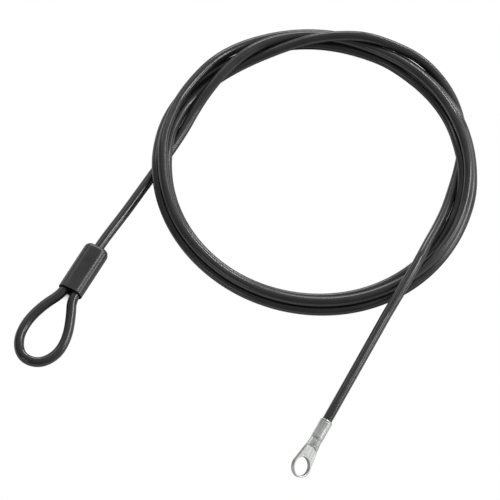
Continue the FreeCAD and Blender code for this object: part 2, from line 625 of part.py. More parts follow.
neck.Sections = [flat_sketch]
neck.Ruled = True
lug.Placement = lug_frame

SUBPARTS = [coil, entry_run, lug_run, eye, rope_live, rope_dead, cover, ferrule, lug]
# Everything above is placed from the middle of the loops, which lies here in the part's own frame:
# the origin is the middle of the part's footprint, on the surface that it lies on
LOOPS_MIDDLE = Vector(40.2, 55.1, 0.0)
for item in SUBPARTS:
    item.Placement = Placement(LOOPS_MIDDLE, Rotation()) * item.Placement
doc.recompute()
for item in doc.Objects:
    if "Invalid" in item.State or "Error" in item.State:
        raise RuntimeError(item.Name + " did not compute: " + ", ".join(item.State))
    if item.TypeId == "Sketcher::SketchObject" and not item.FullyConstrained:
        raise RuntimeError(item.Name + " is not fully constrained")
for item in SUBPARTS:
    if item.Shape.isNull() or not item.Shape.isValid():
        raise RuntimeError(item.Label + " has no valid shape")
for item in SUBPARTS:
    box = item.Shape.BoundBox
    print(item.Label, "volume", round(item.Shape.Volume, 1), "box",
          [round(v, 1) for v in (box.XMin, box.YMin, box.ZMin, box.XMax, box.YMax, box.ZMax)])
    item.Shape.exportStep("parts/" + item.Label + ".step")
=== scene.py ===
import math

import bmesh
import bpy
from mathutils import Matrix, Vector


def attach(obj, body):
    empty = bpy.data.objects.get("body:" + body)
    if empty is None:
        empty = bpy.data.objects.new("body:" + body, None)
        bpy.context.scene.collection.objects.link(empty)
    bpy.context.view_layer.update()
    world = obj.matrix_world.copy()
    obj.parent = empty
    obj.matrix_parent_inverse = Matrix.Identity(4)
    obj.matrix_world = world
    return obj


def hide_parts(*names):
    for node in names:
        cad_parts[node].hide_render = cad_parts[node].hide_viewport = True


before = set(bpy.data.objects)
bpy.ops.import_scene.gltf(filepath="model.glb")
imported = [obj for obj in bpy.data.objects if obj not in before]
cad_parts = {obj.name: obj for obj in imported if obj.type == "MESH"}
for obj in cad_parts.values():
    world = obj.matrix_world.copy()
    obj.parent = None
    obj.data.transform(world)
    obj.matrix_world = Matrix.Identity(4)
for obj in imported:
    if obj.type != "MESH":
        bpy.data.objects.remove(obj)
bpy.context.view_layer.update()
bpy.ops.object.select_all(action="DESELECT")
scene = bpy.context.scene
MM = 0.001

# Camera. It stands well back with a long lens, looks along +Y and 61 degrees down, and sees
# 0.594 mm of the floor's width in each of the picture's 500 pixels.
PICTURE = 500
MM_PER_PIXEL = 0.594
CAMERA_DISTANCE = 10.0
CAMERA_DOWN = math.radians(61.0)
AIM = Vector((2.2, 3.5, 0.0)) * MM
SENSOR = 36.0
camera_data = bpy.data.cameras.new("camera")
camera = bpy.data.objects.new("camera", camera_data)
scene.collection.objects.link(camera)
look = Vector((0.0, math.cos(CAMERA_DOWN), -math.sin(CAMERA_DOWN)))
camera.location = AIM - look * CAMERA_DISTANCE
camera.rotation_euler = (math.pi / 2 - CAMERA_DOWN, 0.0, 0.0)
camera_data.sensor_width = SENSOR
camera_data.lens = CAMERA_DISTANCE * SENSOR / (PICTURE * MM_PER_PIXEL * MM)
camera_data.clip_start = 1.0
camera_data.clip_end = 40.0
scene.camera = camera
scene.view_settings.view_transform = "Standard"

# Cable. Steel wire rope under a 6 mm skin of black soft PVC, laid by hand in three and a half
# loose turns that weave over and under each other, from the moulded cover to the lug.
# Places here and below are millimetres from the middle of the loops, as in the part's source.
LOOPS_MIDDLE = Vector((40.2, 55.1, 0.0))
CABLE_DIA = 6.0
REST = 3.0
COVER_LENGTH = 34.0
SOCKET_LENGTH = 3.0
CABLE_GRIP = 11.0


def turned(origin, heading, pitch=0.0, roll=0.0):
    """A fitting's own axes: heading about Z, then pitch about Y, then roll about X, in degrees."""
    turn = Matrix.Rotation(math.radians(heading), 4, "Z")
    turn = turn @ Matrix.Rotation(math.radians(pitch), 4, "Y")
    turn = turn @ Matrix.Rotation(math.radians(roll), 4, "X")
    return Matrix.Translation(origin) @ turn


cover_place = turned((-144.7, -82.7, 5.0), 60.5)
lug_place = turned((7.2, -173.1, 10.9), -118.8, 9.0, -50.0)

# Lay of the loops: angle in degrees counted clockwise from +X as seen from above, distance from
# the middle and height of the cable's centre
LAY = [
    (205, 82.0, 3.0), (215, 81.5, 5.5), (222, 81.5, 9.0), (230, 82.5, 11.0), (241, 85.5, 12.0),
    (250, 89.0, 9.5), (258, 89.5, 9.0), (265, 90.0, 8.5), (275, 90.0, 8.0), (290, 88.5, 8.5),
    (300, 88.5, 9.0), (310, 88.0, 11.5), (330, 88.5, 13.5), (345, 90.0, 15.0), (360, 92.0, 14.0),
    (375, 94.0, 11.5), (390, 94.5, 9.0), (410, 94.5, 8.5), (430, 93.5, 8.0), (450, 91.5, 8.0),
    (480, 89.0, 8.0), (500, 88.0, 8.5), (510, 88.5, 9.0), (525, 90.0, 12.5), (540, 89.5, 15.5),
    (550, 89.5, 15.0), (560, 90.5, 11.5), (567, 92.0, 9.0), (585, 92.0, 9.0), (595, 93.0, 6.5),
    (601, 95.0, 4.0), (610, 95.2, 3.0), (625, 94.4, 3.0), (650, 93.3, 3.0), (660, 92.4, 3.5),
    (680, 91.5, 5.5), (695, 91.5, 8.5), (705, 92.0, 9.0), (720, 94.0, 6.0), (735, 94.5, 3.0),
    (750, 95.5, 3.0), (770, 96.5, 3.0), (790, 96.0, 3.0), (810, 94.0, 3.0), (830, 92.0, 3.0),
    (850, 91.0, 3.0), (870, 91.5, 3.0), (880, 92.5, 5.0), (890, 93.5, 8.5), (897, 93.5, 9.5),
    (903, 93.5, 9.0), (910, 93.5, 7.5), (920, 94.0, 3.5), (927, 94.0, 3.0), (935, 93.0, 3.0),
    (945, 91.5, 3.0), (955, 90.0, 3.0), (970, 88.5, 3.0), (1000, 86.5, 3.0), (1050, 87.0, 3.0),
    (1060, 87.0, 5.0), (1070, 87.0, 8.5), (1080, 88.0, 8.0), (1095, 88.3, 3.0), (1120, 88.0, 3.0),
    (1150, 87.5, 3.0), (1170, 86.0, 3.0), (1190, 85.0, 3.0), (1225, 85.0, 3.0), (1240, 87.0, 5.0),
    (1250, 87.5, 8.5), (1260, 88.0, 9.0), (1270, 88.0, 9.0), (1277, 88.0, 6.5), (1284, 88.5, 3.0),
    (1295, 87.5, 3.0), (1305, 86.5, 3.0), (1315, 84.5, 4.0), (1325, 83.0, 6.5), (1335, 83.0, 8.0),
    (1340, 84.0, 10.0), (1345, 84.0, 12.0), (1350, 84.5, 14.5), (1356, 86.5, 15.0), (1366, 89.0, 15.0),
    (1371, 90.0, 15.0), (1376, 92.0, 13.5), (1381, 94.0, 11.5), (1386, 98.0, 8.0), (1392, 99.5, 4.0),
    (1398, 100.2, 3.0), (1405, 99.0, 3.0), (1415, 95.5, 3.0), (1430, 89.0, 3.0), (1440, 85.9, 3.0),
    (1450, 83.9, 4.0), (1460, 82.9, 6.2), (1465, 83.3, 7.9), (1470, 84.1, 9.6), (1475, 85.5, 11.6),
    (1480, 87.3, 13.6), (1485, 90.1, 15.3), (1490, 93.5, 16.4), (1495, 98.0, 16.4), (1500, 104.0, 15.4),
]
# The cable comes in straight from the cover, and crosses these angles on its way
ENTRY_START = Vector((-103.8, -14.8, 3.3))
ENTRY_END = Vector((-79.4, 24.0, 3.0))
ENTRY_ANGLES = (170, 195)
# Past this angle it leaves the loops for the lug, and passes this point
EXIT_FREE_ANGLE = 1462
EXIT_POINT = Vector((41.9, -105.4, 14.4))
# Settling of the strands: degrees between places, least distance between two strands' centres,
# rounds, how many of them at the end only push apart, and each round's smoothing and pull
LAY_STEP = 5
SPACING = 6.2
SETTLE_ROUNDS = 300
SETTLE_FINISH = 30
SMOOTH = 0.4
PULL = 0.04
# The smooth line's corners, and how far from the straight stretches' ends its extra corners stand
CORNER_ANGLES = range(210, 1491, 10)
CORNER_ROUNDS = 6
ENTRY_LEAD = 16.0
COVER_LEAD = 6.0
EXIT_LEAD = 4.0
LUG_LEAD = 8.0


def point_on_lay(angle, radius, height):
    """Place given by clockwise angle, radius and height."""
    turn = math.radians(angle)
    return Vector((radius * math.cos(turn), -radius * math.sin(turn), height))


def entry_place(angle):
    """Angle, radius and height at which the entry stretch crosses the given angle."""
    turn = math.radians(angle)
    across = Vector((math.sin(turn), math.cos(turn), 0.0))
    run = ENTRY_END - ENTRY_START
    place = ENTRY_START - run * (ENTRY_START.dot(across) / run.dot(across))
    return (angle, math.hypot(place.x, place.y), place.z)


def planned(keys, angle):
    """Radius and height of the lay at an angle, straight between the keys."""
    for before, after in zip(keys, keys[1:]):
        if before[0] <= angle <= after[0]:
            share = (angle - before[0]) / (after[0] - before[0])
            return [before[c] + share * (after[c] - before[c]) for c in (1, 2)]


def settled_loops():
    """The lay with its strands pushed apart until each touches the ones beside and under it."""
    first, last = ENTRY_ANGLES
    keys = [entry_place(angle) for angle in range(first, last + 1, LAY_STEP)] + LAY
    angles = list(range(first, LAY[-1][0] + 1, LAY_STEP))
    plan = [planned(keys, angle) for angle in angles]
    held = [angle <= last or angle > EXIT_FREE_ANGLE for angle in angles]
    nodes = [list(place) for place in plan]
    count = len(nodes)
    per_turn = 360 // LAY_STEP
    for settle_round in range(SETTLE_ROUNDS):
        if settle_round <= SETTLE_ROUNDS - SETTLE_FINISH:
            before = [list(place) for place in nodes]
            for i in range(1, count - 1):
                for c in (0, 1):
                    if not held[i]:
                        here = before[i][c]
                        middle = (before[i - 1][c] + before[i + 1][c]) / 2
                        nodes[i][c] += SMOOTH * (middle - here) + PULL * (plan[i][c] - here)
        slope = [0.0] * count
        for i in range(1, count - 1):
            slope[i] = (nodes[i + 1][0] - nodes[i - 1][0]) / (2 * math.radians(LAY_STEP) * nodes[i][0])
        slope[0] = slope[1]
        slope[-1] = slope[-2]
        for i in range(count):
            for j in range(i + per_turn, count, per_turn):
                skew = 1 / math.sqrt(1 + (slope[i] - slope[j]) ** 2)
                out = (nodes[j][0] - nodes[i][0]) * skew
                rise = nodes[j][1] - nodes[i][1]
                apart = math.hypot(out, rise)
                if apart < SPACING:
                    push = (SPACING - apart) / apart
                    share_i = 0.0 if held[i] else (1.0 if held[j] else 0.5)
                    share_j = 0.0 if held[j] else (1.0 if held[i] else 0.5)
                    nodes[i][0] -= share_i * push * out / skew
                    nodes[i][1] -= share_i * push * rise
                    nodes[j][0] += share_j * push * out / skew
                    nodes[j][1] += share_j * push * rise
        for place in nodes:
            place[1] = max(place[1], REST)
    return {angle: (angle, place[0], place[1]) for angle, place in zip(angles, nodes)}


def corners_through(places):
    """Corners pushed out so that the smooth line passes each place, none under the rest height.

    Beside a corner the line passes three quarters of it and an eighth of each neighbour.
    """
    corners = [place.copy() for place in places]
    for corner_round in range(CORNER_ROUNDS):
        passed = [corners[i] * 0.75 + (corners[i - 1] + corners[i + 1]) * 0.125
                  for i in range(1, len(corners) - 1)]
        for i in range(2, len(corners) - 2):
            corners[i] += places[i] - passed[i - 1]
            corners[i].z = max(corners[i].z, REST)
    return corners


def curve_piece(name, points, diameter):
    """A round cord along one smooth line. Its radius is kept at its points, where its box is read."""
    data = bpy.data.curves.new(name, "CURVE")
    data.dimensions = "3D"
    data.resolution_u = 8
    data.render_resolution_u = 8
    data.bevel_depth = 1.0
    data.bevel_resolution = 7
    data.use_fill_caps = True
    spline = data.splines.new("NURBS")
    spline.points.add(len(points) - 1)
    for target, point in zip(spline.points, points):
        target.co = (*((point + LOOPS_MIDDLE) * MM), 1.0)
        target.radius = diameter / 2 * MM
    spline.order_u = 3
    spline.use_endpoint_u = True
    piece = bpy.data.objects.new(name, data)
    scene.collection.objects.link(piece)
    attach(piece, "root")
    return piece


loops = settled_loops()
lug_lead = lug_place @ Vector((-LUG_LEAD, 0.0, 0.0))
entry_way = (ENTRY_END - ENTRY_START).normalized()
exit_way = (lug_lead - EXIT_POINT).normalized()
coil_places = [ENTRY_START, ENTRY_END]
coil_places += [point_on_lay(*loops[angle]) for angle in CORNER_ANGLES]
coil_places += [EXIT_POINT - exit_way * EXIT_LEAD, EXIT_POINT]
cable_points = [
    cover_place @ Vector((COVER_LENGTH - SOCKET_LENGTH, 0.0, 0.0)),
    cover_place @ Vector((COVER_LENGTH + COVER_LEAD, 0.0, 0.0)),
    ENTRY_START - entry_way * ENTRY_LEAD,
]
cable_points += corners_through(coil_places)
cable_points += [lug_lead, lug_place @ Vector((CABLE_GRIP, 0.0, 0.0))]
cable = curve_piece("cable", cable_points, CABLE_DIA)
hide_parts("cable_coil", "cable_run_to_eye", "cable_run_to_lug")


def new_finish(name, colour, roughness, metallic=0.0):
    """A material with its shader set to a plain finish, for nodes to vary."""
    material = bpy.data.materials.new(name)
    material.use_nodes = True
    shader = material.node_tree.nodes["Principled BSDF"]
    shader.inputs["Base Color"].default_value = (*colour, 1.0)
    shader.inputs["Roughness"].default_value = roughness
    shader.inputs["Metallic"].default_value = metallic
    return material, material.node_tree, shader


def node(tree, kind, inputs=(), **settings):
    """A node with its settings, and its inputs either linked from a socket or set to a value."""
    made = tree.nodes.new("ShaderNode" + kind)
    for key, value in settings.items():
        setattr(made, key, value)
    for key, value in dict(inputs).items():
        if isinstance(value, bpy.types.NodeSocket):
            tree.links.new(value, made.inputs[key])
        else:
            made.inputs[key].default_value = value
    return made


def grain(tree, place, scale, detail=3.0):
    """Noise of a given scale per metre at a place."""
    return node(tree, "TexNoise", {"Vector": place, "Scale": scale, "Detail": detail}).outputs["Fac"]


def spread(tree, value, low, high, out_low, out_high):
    """Maps one range of a value to another."""
    ends = {"Value": value, "From Min": low, "From Max": high, "To Min": out_low, "To Max": out_high}
    return node(tree, "MapRange", ends).outputs["Result"]


def blend_colours(tree, share, first, second):
    """A colour between two, by a share."""
    mix = node(tree, "Mix", {0: share}, data_type="RGBA")
    for socket, colour in ((mix.inputs[6], first), (mix.inputs[7], second)):
        if isinstance(colour, bpy.types.NodeSocket):
            tree.links.new(colour, socket)
        else:
            socket.default_value = (*colour, 1.0)
    return mix.outputs[2]


def relief(tree, shader, layers):
    """Bump nodes in a row, one for each layer of height, strength and depth in millimetres."""
    normal = None
    for height, strength, depth in layers:
        bump = node(tree, "Bump", {"Strength": strength, "Distance": depth * MM, "Height": height})
        if normal:
            tree.links.new(normal, bump.inputs["Normal"])
        normal = bump.outputs["Normal"]
    tree.links.new(normal, shader.inputs["Normal"])


STRANDS = 6
ROPE_PITCH = 22.0


def cable_finish(name, length):
    """Extruded black PVC: strands faintly through it, fine pores and dull patches. Length in mm."""
    material, tree, shader = new_finish(name, (0.014, 0.0145, 0.014), 0.36)
    coords = node(tree, "TexCoord")
    where = coords.outputs["Object"]
    along = node(tree, "SeparateXYZ", {0: coords.outputs["UV"]})
    turns = node(tree, "Math", {0: along.outputs["X"], 1: STRANDS * length / ROPE_PITCH},
                 operation="MULTIPLY")
    around = node(tree, "Math", {0: along.outputs["Y"], 1: float(STRANDS)}, operation="MULTIPLY")
    phase = node(tree, "Math", {0: turns.outputs[0], 1: around.outputs[0]}, operation="ADD")
    angle = node(tree, "Math", {0: phase.outputs[0], 1: 2 * math.pi}, operation="MULTIPLY")
    strands = node(tree, "Math", {0: angle.outputs[0]}, operation="SINE").outputs[0]
    patches = grain(tree, where, 70.0, 4.0)
    speckle = grain(tree, where, 1100.0, 4.0)
    pores = grain(tree, where, 2600.0, 2.0)
    dust = spread(tree, patches, 0.42, 0.68, 0.0, 1.0)
    black = blend_colours(tree, dust, (0.017, 0.0178, 0.0172), (0.026, 0.0266, 0.0255))
    tree.links.new(black, shader.inputs["Base Color"])
    dull = node(tree, "Math", {0: spread(tree, speckle, 0.3, 0.7, -0.015, 0.015),
                               1: spread(tree, patches, 0.35, 0.7, 0.16, 0.23)}, operation="ADD")
    tree.links.new(dull.outputs[0], shader.inputs["Roughness"])
    relief(tree, shader, ((strands, 0.035, 0.10), (pores, 0.01, 0.02)))
    return material


cable.data.materials.append(cable_finish("cable_skin", length=2250.0))

# Eye. The same cable bent back on itself into a small pear-shaped eye at the cover's open end,
# where a lock or the cable's other end passes through it.
MOUTH_DEPTH = 6.0
LEG_OFFSET = 3.4
eye_points = [
    cover_place @ Vector((MOUTH_DEPTH, LEG_OFFSET, 0.0)),
    cover_place @ Vector((-3.0, LEG_OFFSET, 0.0)),
    Vector((-160.0, -91.0, 4.6)),
    Vector((-170.0, -101.5, 4.0)),
    Vector((-175.5, -114.0, 3.5)),
    Vector((-173.5, -126.0, 3.3)),
    Vector((-163.0, -130.5, 3.2)),
    Vector((-152.0, -124.5, 3.3)),
    Vector((-146.0, -112.5, 3.7)),
    Vector((-144.0, -98.0, 4.3)),
    cover_place @ Vector((-4.0, -LEG_OFFSET, 0.0)),
    cover_place @ Vector((MOUTH_DEPTH, -LEG_OFFSET, 0.0)),
]
eye = curve_piece("eye", eye_points, CABLE_DIA)
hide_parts("eye_loop")
eye.data.materials.append(cable_finish("eye_skin", length=133.0))

# Ferrule and bare rope. The steel rope is stripped of its skin, its two lengths are pressed side
# by side in an oval aluminium ferrule, and the cover hides all of it. The CAD nodes show.


def steel_rope():
    """Zinc-plated wire rope: fine slanting wires, with painted shade between them."""
    material, tree, shader = new_finish("steel_rope", (0.52, 0.52, 0.51), 0.35, 1.0)
    where = node(tree, "TexCoord").outputs["Object"]
    slanted = node(tree, "Mapping", {"Vector": where, "Rotation": (0.3, 0.5, math.radians(85.0))})
    wires = node(tree, "TexWave", {"Vector": slanted.outputs[0], "Scale": 420.0, "Distortion": 0.6})
    colour = blend_colours(tree, wires.outputs["Fac"], (0.22, 0.22, 0.21), (0.62, 0.62, 0.60))
    tree.links.new(colour, shader.inputs["Base Color"])
    scuffs = grain(tree, where, 900.0)
    tree.links.new(spread(tree, scuffs, 0.3, 0.7, 0.28, 0.5), shader.inputs["Roughness"])
    relief(tree, shader, ((wires.outputs["Fac"], 0.6, 0.25),))
    return material


def pressed_aluminium():
    """Dull aluminium with the marks of the press."""
    material, tree, shader = new_finish("pressed_aluminium", (0.66, 0.66, 0.67), 0.42, 1.0)
    where = node(tree, "TexCoord").outputs["Object"]
    marks = grain(tree, where, 500.0, 5.0)
    colour = blend_colours(tree, spread(tree, marks, 0.35, 0.7, 0.0, 1.0), (0.56, 0.56, 0.57),
                           (0.74, 0.74, 0.75))
    tree.links.new(colour, shader.inputs["Base Color"])
    tree.links.new(spread(tree, marks, 0.3, 0.7, 0.34, 0.52), shader.inputs["Roughness"])
    relief(tree, shader, ((marks, 0.3, 0.12),))
    return material


rope_finish = steel_rope()
for name, finish in (("rope_through_ferrule", rope_finish), ("rope_end_in_ferrule", rope_finish),
                     ("crimp_ferrule", pressed_aluminium())):
    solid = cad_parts[name]
    solid.data.materials.clear()
    solid.data.materials.append(finish)

# Moulded cover. Black plastic moulded as a flat rounded bar round the ferrule, open at the eye's
# end, where its mouth has a soft lip, and domed at the other, where the cable comes out.
COVER_WIDTH = 15.4
COVER_HEIGHT = 10.0
COVER_CORNER = 4.3
COVER_DOME = 3.4
LIP_WIDTH = 0.55
CABLE_HOLE = 3.2
HOLE_OVERLAP = 1.0
CUTTER_DEPTH = 8.0
SEAT_END = 22.1
SEAT_HALF = (6.2, 3.0)
THROAT_HALF = (5.5, 2.1)
THROAT_END = COVER_LENGTH - SOCKET_LENGTH - 0.4
LEDGE = 0.02
TOP_DOME = 0.26
COVER_VOXEL = 0.22
# Hollow from the mouth inwards: place along the cover, half width and half height
HOLLOW = (
    (0.35, 6.95, 3.6), (1.2, 6.9, 3.35), (MOUTH_DEPTH, 6.8, 3.3), (MOUTH_DEPTH + LEDGE, *SEAT_HALF),
    (SEAT_END, *SEAT_HALF), (SEAT_END + LEDGE, *THROAT_HALF), (THROAT_END, *THROAT_HALF),
)


def select_where(piece, kind, test):
    """Selects only the faces, edges or vertices of the piece in edit mode that pass a test."""
    bpy.ops.mesh.select_mode(type={"faces": "FACE", "edges": "EDGE", "verts": "VERT"}[kind])
    bpy.ops.mesh.select_all(action="DESELECT")
    mesh = bmesh.from_edit_mesh(piece.data)
    for item in getattr(mesh, kind):
        if test(item):
            item.select_set(True)
    mesh.select_flush_mode()
    bmesh.update_edit_mesh(piece.data)


def draw_out(sections, at, wide, high):
    """Extrudes the selected end face along X through sections of place, half width and half height."""
    for along, half_width, half_height in sections:
        bpy.ops.mesh.extrude_region_move(TRANSFORM_OT_translate={"value": (along - at, 0.0, 0.0)})
        bpy.ops.transform.resize(value=(1.0, half_width / wide, half_height / high),
                                 center_override=(along, 0.0, 0.0))
        at, wide, high = along, half_width, half_height


def added_primitive(name):
    """The primitive that was just added, named, with its place and size in its mesh."""
    piece = bpy.context.active_object
    piece.name = name
    bpy.ops.object.transform_apply(location=True, rotation=True, scale=True)
    return piece


def cut_away(piece, cutter):
    """Takes the cutter's shape out of the piece."""
    bpy.ops.object.select_all(action="DESELECT")
    bpy.context.view_layer.objects.active = piece
    piece.select_set(True)
    cut = piece.modifiers.new("cut", "BOOLEAN")
    cut.operation = "DIFFERENCE"
    cut.solver = "EXACT"
    cut.object = cutter
    bpy.ops.object.modifier_apply(modifier=cut.name)
    bpy.data.objects.remove(cutter)


def soften(piece, voxel, rounds):
    """Makes one skin of the piece's parts and rounds its edges as moulding or plating does."""
    bpy.ops.object.select_all(action="DESELECT")
    bpy.context.view_layer.objects.active = piece
    piece.select_set(True)
    skin = piece.modifiers.new("skin", "REMESH")
    skin.mode = "VOXEL"
    skin.voxel_size = voxel
    skin.use_smooth_shade = True
    bpy.ops.object.modifier_apply(modifier=skin.name)
    smooth = piece.modifiers.new("smooth", "SMOOTH")
    smooth.factor = 0.5
    smooth.iterations = rounds
    bpy.ops.object.modifier_apply(modifier=smooth.name)
    bpy.ops.object.shade_smooth()


def set_in_place(piece, place):
    """Puts a piece that was made in millimetres on its own axes where it belongs, in its mesh."""
    piece.matrix_world = Matrix.Scale(MM, 4) @ Matrix.Translation(LOOPS_MIDDLE) @ place
    bpy.ops.object.transform_apply(location=True, rotation=True, scale=True)
    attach(piece, "root")


bpy.ops.mesh.primitive_cube_add(size=1.0, location=(COVER_LENGTH / 2, 0.0, 0.0),
                                scale=(COVER_LENGTH, COVER_WIDTH, COVER_HEIGHT))
cover = added_primitive("cover")
bpy.ops.object.mode_set(mode="EDIT")
select_where(cover, "edges", lambda edge: abs(edge.verts[0].co.x - edge.verts[1].co.x) > 1.0)
bpy.ops.mesh.bevel(offset=COVER_CORNER, segments=12, affect="EDGES")
select_where(cover, "edges", lambda edge: all(vert.co.x > COVER_LENGTH - 0.1 for vert in edge.verts))
bpy.ops.mesh.bevel(offset=COVER_DOME, segments=8, affect="EDGES")
select_where(cover, "faces", lambda face: all(vert.co.x < 0.1 for vert in face.verts))
bpy.ops.mesh.inset(thickness=LIP_WIDTH)
mouth_half = (COVER_WIDTH / 2 - LIP_WIDTH, COVER_HEIGHT / 2 - LIP_WIDTH)
draw_out(HOLLOW, 0.0, *mouth_half)
bpy.ops.object.mode_set(mode="OBJECT")
hole_middle = COVER_LENGTH - SOCKET_LENGTH - HOLE_OVERLAP + CUTTER_DEPTH / 2
bpy.ops.mesh.primitive_cylinder_add(vertices=64, radius=CABLE_HOLE, depth=CUTTER_DEPTH,
                                    location=(hole_middle, 0.0, 0.0), rotation=(0.0, math.pi / 2, 0.0))
cut_away(cover, added_primitive("cable_hole"))
soften(cover, COVER_VOXEL, 5)
# The mould's upper half is domed across: higher in the middle, lower from halfway to the sides
for vert in cover.data.vertices:
    if vert.co.z > 0.0:
        across = vert.co.y / (COVER_WIDTH / 2)
        vert.co.z *= 1.0 + TOP_DOME * (0.25 - across ** 2)
set_in_place(cover, cover_place)
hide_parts("sleeve_cover")


def cover_finish():
    """Moulded plastic: satin black with fine spark texture, and a painted highlight along its sharp
    edges such as the mouth's lip.
    """
    material, tree, shader = new_finish("cover_moulding", (0.018, 0.0185, 0.018), 0.33)
    where = node(tree, "TexCoord").outputs["Object"]
    edges = node(tree, "NewGeometry").outputs["Pointiness"]
    # Painted highlight: the sharp edges, the mouth's lip most, are coloured paler
    painted_edge_light_and_shade = spread(tree, edges, 0.508, 0.545, 0.0, 1.0)
    clouds = grain(tree, where, 160.0, 4.0)
    spark = grain(tree, where, 1800.0, 3.0)
    black = blend_colours(tree, spread(tree, clouds, 0.35, 0.7, 0.0, 1.0), (0.012, 0.0127, 0.0122),
                          (0.023, 0.0237, 0.023))
    edge_highlighted = blend_colours(tree, painted_edge_light_and_shade, black, (0.110, 0.110, 0.107))
    tree.links.new(edge_highlighted, shader.inputs["Base Color"])
    tree.links.new(spread(tree, clouds, 0.3, 0.7, 0.25, 0.31), shader.inputs["Roughness"])
    relief(tree, shader, ((spark, 0.02, 0.03),))
    return material


cover.data.materials.clear()
cover.data.materials.append(cover_finish())

# Eyelet lug. A drawn copper tube under bright tin plate: the barrel is pressed on the cable's end,
# and past it the tube is flattened in a press into a tapered palm with a large round hole.
BARREL_BORE = 3.1
BORE_START = CABLE_GRIP + 0.1
BARREL_LENGTH = 12.6
NECK_END = 18.6
SCOOP_START = NECK_END - 0.6
SCOOP_DEPTH = 1.7
SCOOP_SHIFT = 0.6
HOLE_PLACE = 31.8
PALM_RADIUS = 6.7
PALM_HALF = 1.2
PALM_NECK_HALF = 3.4
PALM_HEEL = 4.7
EYELET_RADIUS = 5.7
LUG_VOXEL = 0.17
# Tube from its bore round the end and on to the neck: place along the lug, half width, half height
BARREL = (
    (0.30, BARREL_BORE, BARREL_BORE), (0.0, 3.30, 3.30), (0.0, 3.62, 3.62), (0.25, 3.86, 3.86),
    (0.9, 3.88, 3.88), (1.25, 3.72, 3.72), (1.7, 3.80, 3.80), (6.5, 3.82, 3.76), (11.6, 3.84, 3.80),
    (BARREL_LENGTH, 3.82, 3.72), (13.1, 3.80, 3.05), (15.0, 4.10, 2.90), (17.0, 4.45, 2.65),
    (NECK_END - 0.5, 4.68, 2.45), (NECK_END, 4.62, 2.10), (NECK_END + 0.15, 4.4, 1.0),
)
bpy.ops.mesh.primitive_circle_add(vertices=64, radius=BARREL_BORE, fill_type="NGON",
                                  location=(BORE_START, 0.0, 0.0), rotation=(0.0, math.pi / 2, 0.0))
lug = added_primitive("lug")
bpy.ops.object.mode_set(mode="EDIT")
select_where(lug, "faces", lambda face: True)
draw_out(BARREL, BORE_START, BARREL_BORE, BARREL_BORE)
bpy.ops.mesh.select_all(action="SELECT")
bpy.ops.mesh.normals_make_consistent(inside=False)
# The press leaves a scooped step where the round neck drops to the flat palm
select_where(lug, "verts", lambda vert: vert.co.x > SCOOP_START)
mesh = bmesh.from_edit_mesh(lug.data)
for vert in mesh.verts:
    if vert.select:
        vert.co.x += SCOOP_DEPTH * (vert.co.y / PALM_HEEL) ** 2 - SCOOP_SHIFT
bmesh.update_edit_mesh(lug.data)
bpy.ops.object.mode_set(mode="OBJECT")

bpy.ops.mesh.primitive_cube_add(size=1.0, location=((BARREL_LENGTH + HOLE_PLACE) / 2, 0.0, 0.0),
                                scale=(HOLE_PLACE - BARREL_LENGTH, 2 * PALM_RADIUS, 2 * PALM_HALF))
palm = added_primitive("palm")
bpy.ops.object.mode_set(mode="EDIT")
select_where(palm, "faces", lambda face: all(vert.co.x < BARREL_LENGTH + 0.1 for vert in face.verts))
bpy.ops.transform.resize(value=(1.0, PALM_NECK_HALF / PALM_RADIUS, 1.0),
                         center_override=(BARREL_LENGTH, 0.0, 0.0))
bpy.ops.object.mode_set(mode="OBJECT")
bpy.ops.mesh.primitive_cylinder_add(vertices=96, radius=EYELET_RADIUS, depth=CUTTER_DEPTH,
                                    location=(HOLE_PLACE, 0.0, 0.0))
cut_away(palm, added_primitive("punch"))

bpy.ops.mesh.primitive_cylinder_add(vertices=96, radius=PALM_RADIUS, depth=2 * PALM_HALF,
                                    location=(HOLE_PLACE, 0.0, 0.0))
ring = added_primitive("ring")
bpy.ops.mesh.primitive_cylinder_add(vertices=96, radius=EYELET_RADIUS, depth=CUTTER_DEPTH,
                                    location=(HOLE_PLACE, 0.0, 0.0))
cut_away(ring, added_primitive("second_punch"))

bpy.ops.object.select_all(action="DESELECT")
for part in (palm, ring, lug):
    part.select_set(True)
bpy.context.view_layer.objects.active = lug
bpy.ops.object.join()
soften(lug, LUG_VOXEL, 3)
set_in_place(lug, lug_place)
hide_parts("eyelet_lug")


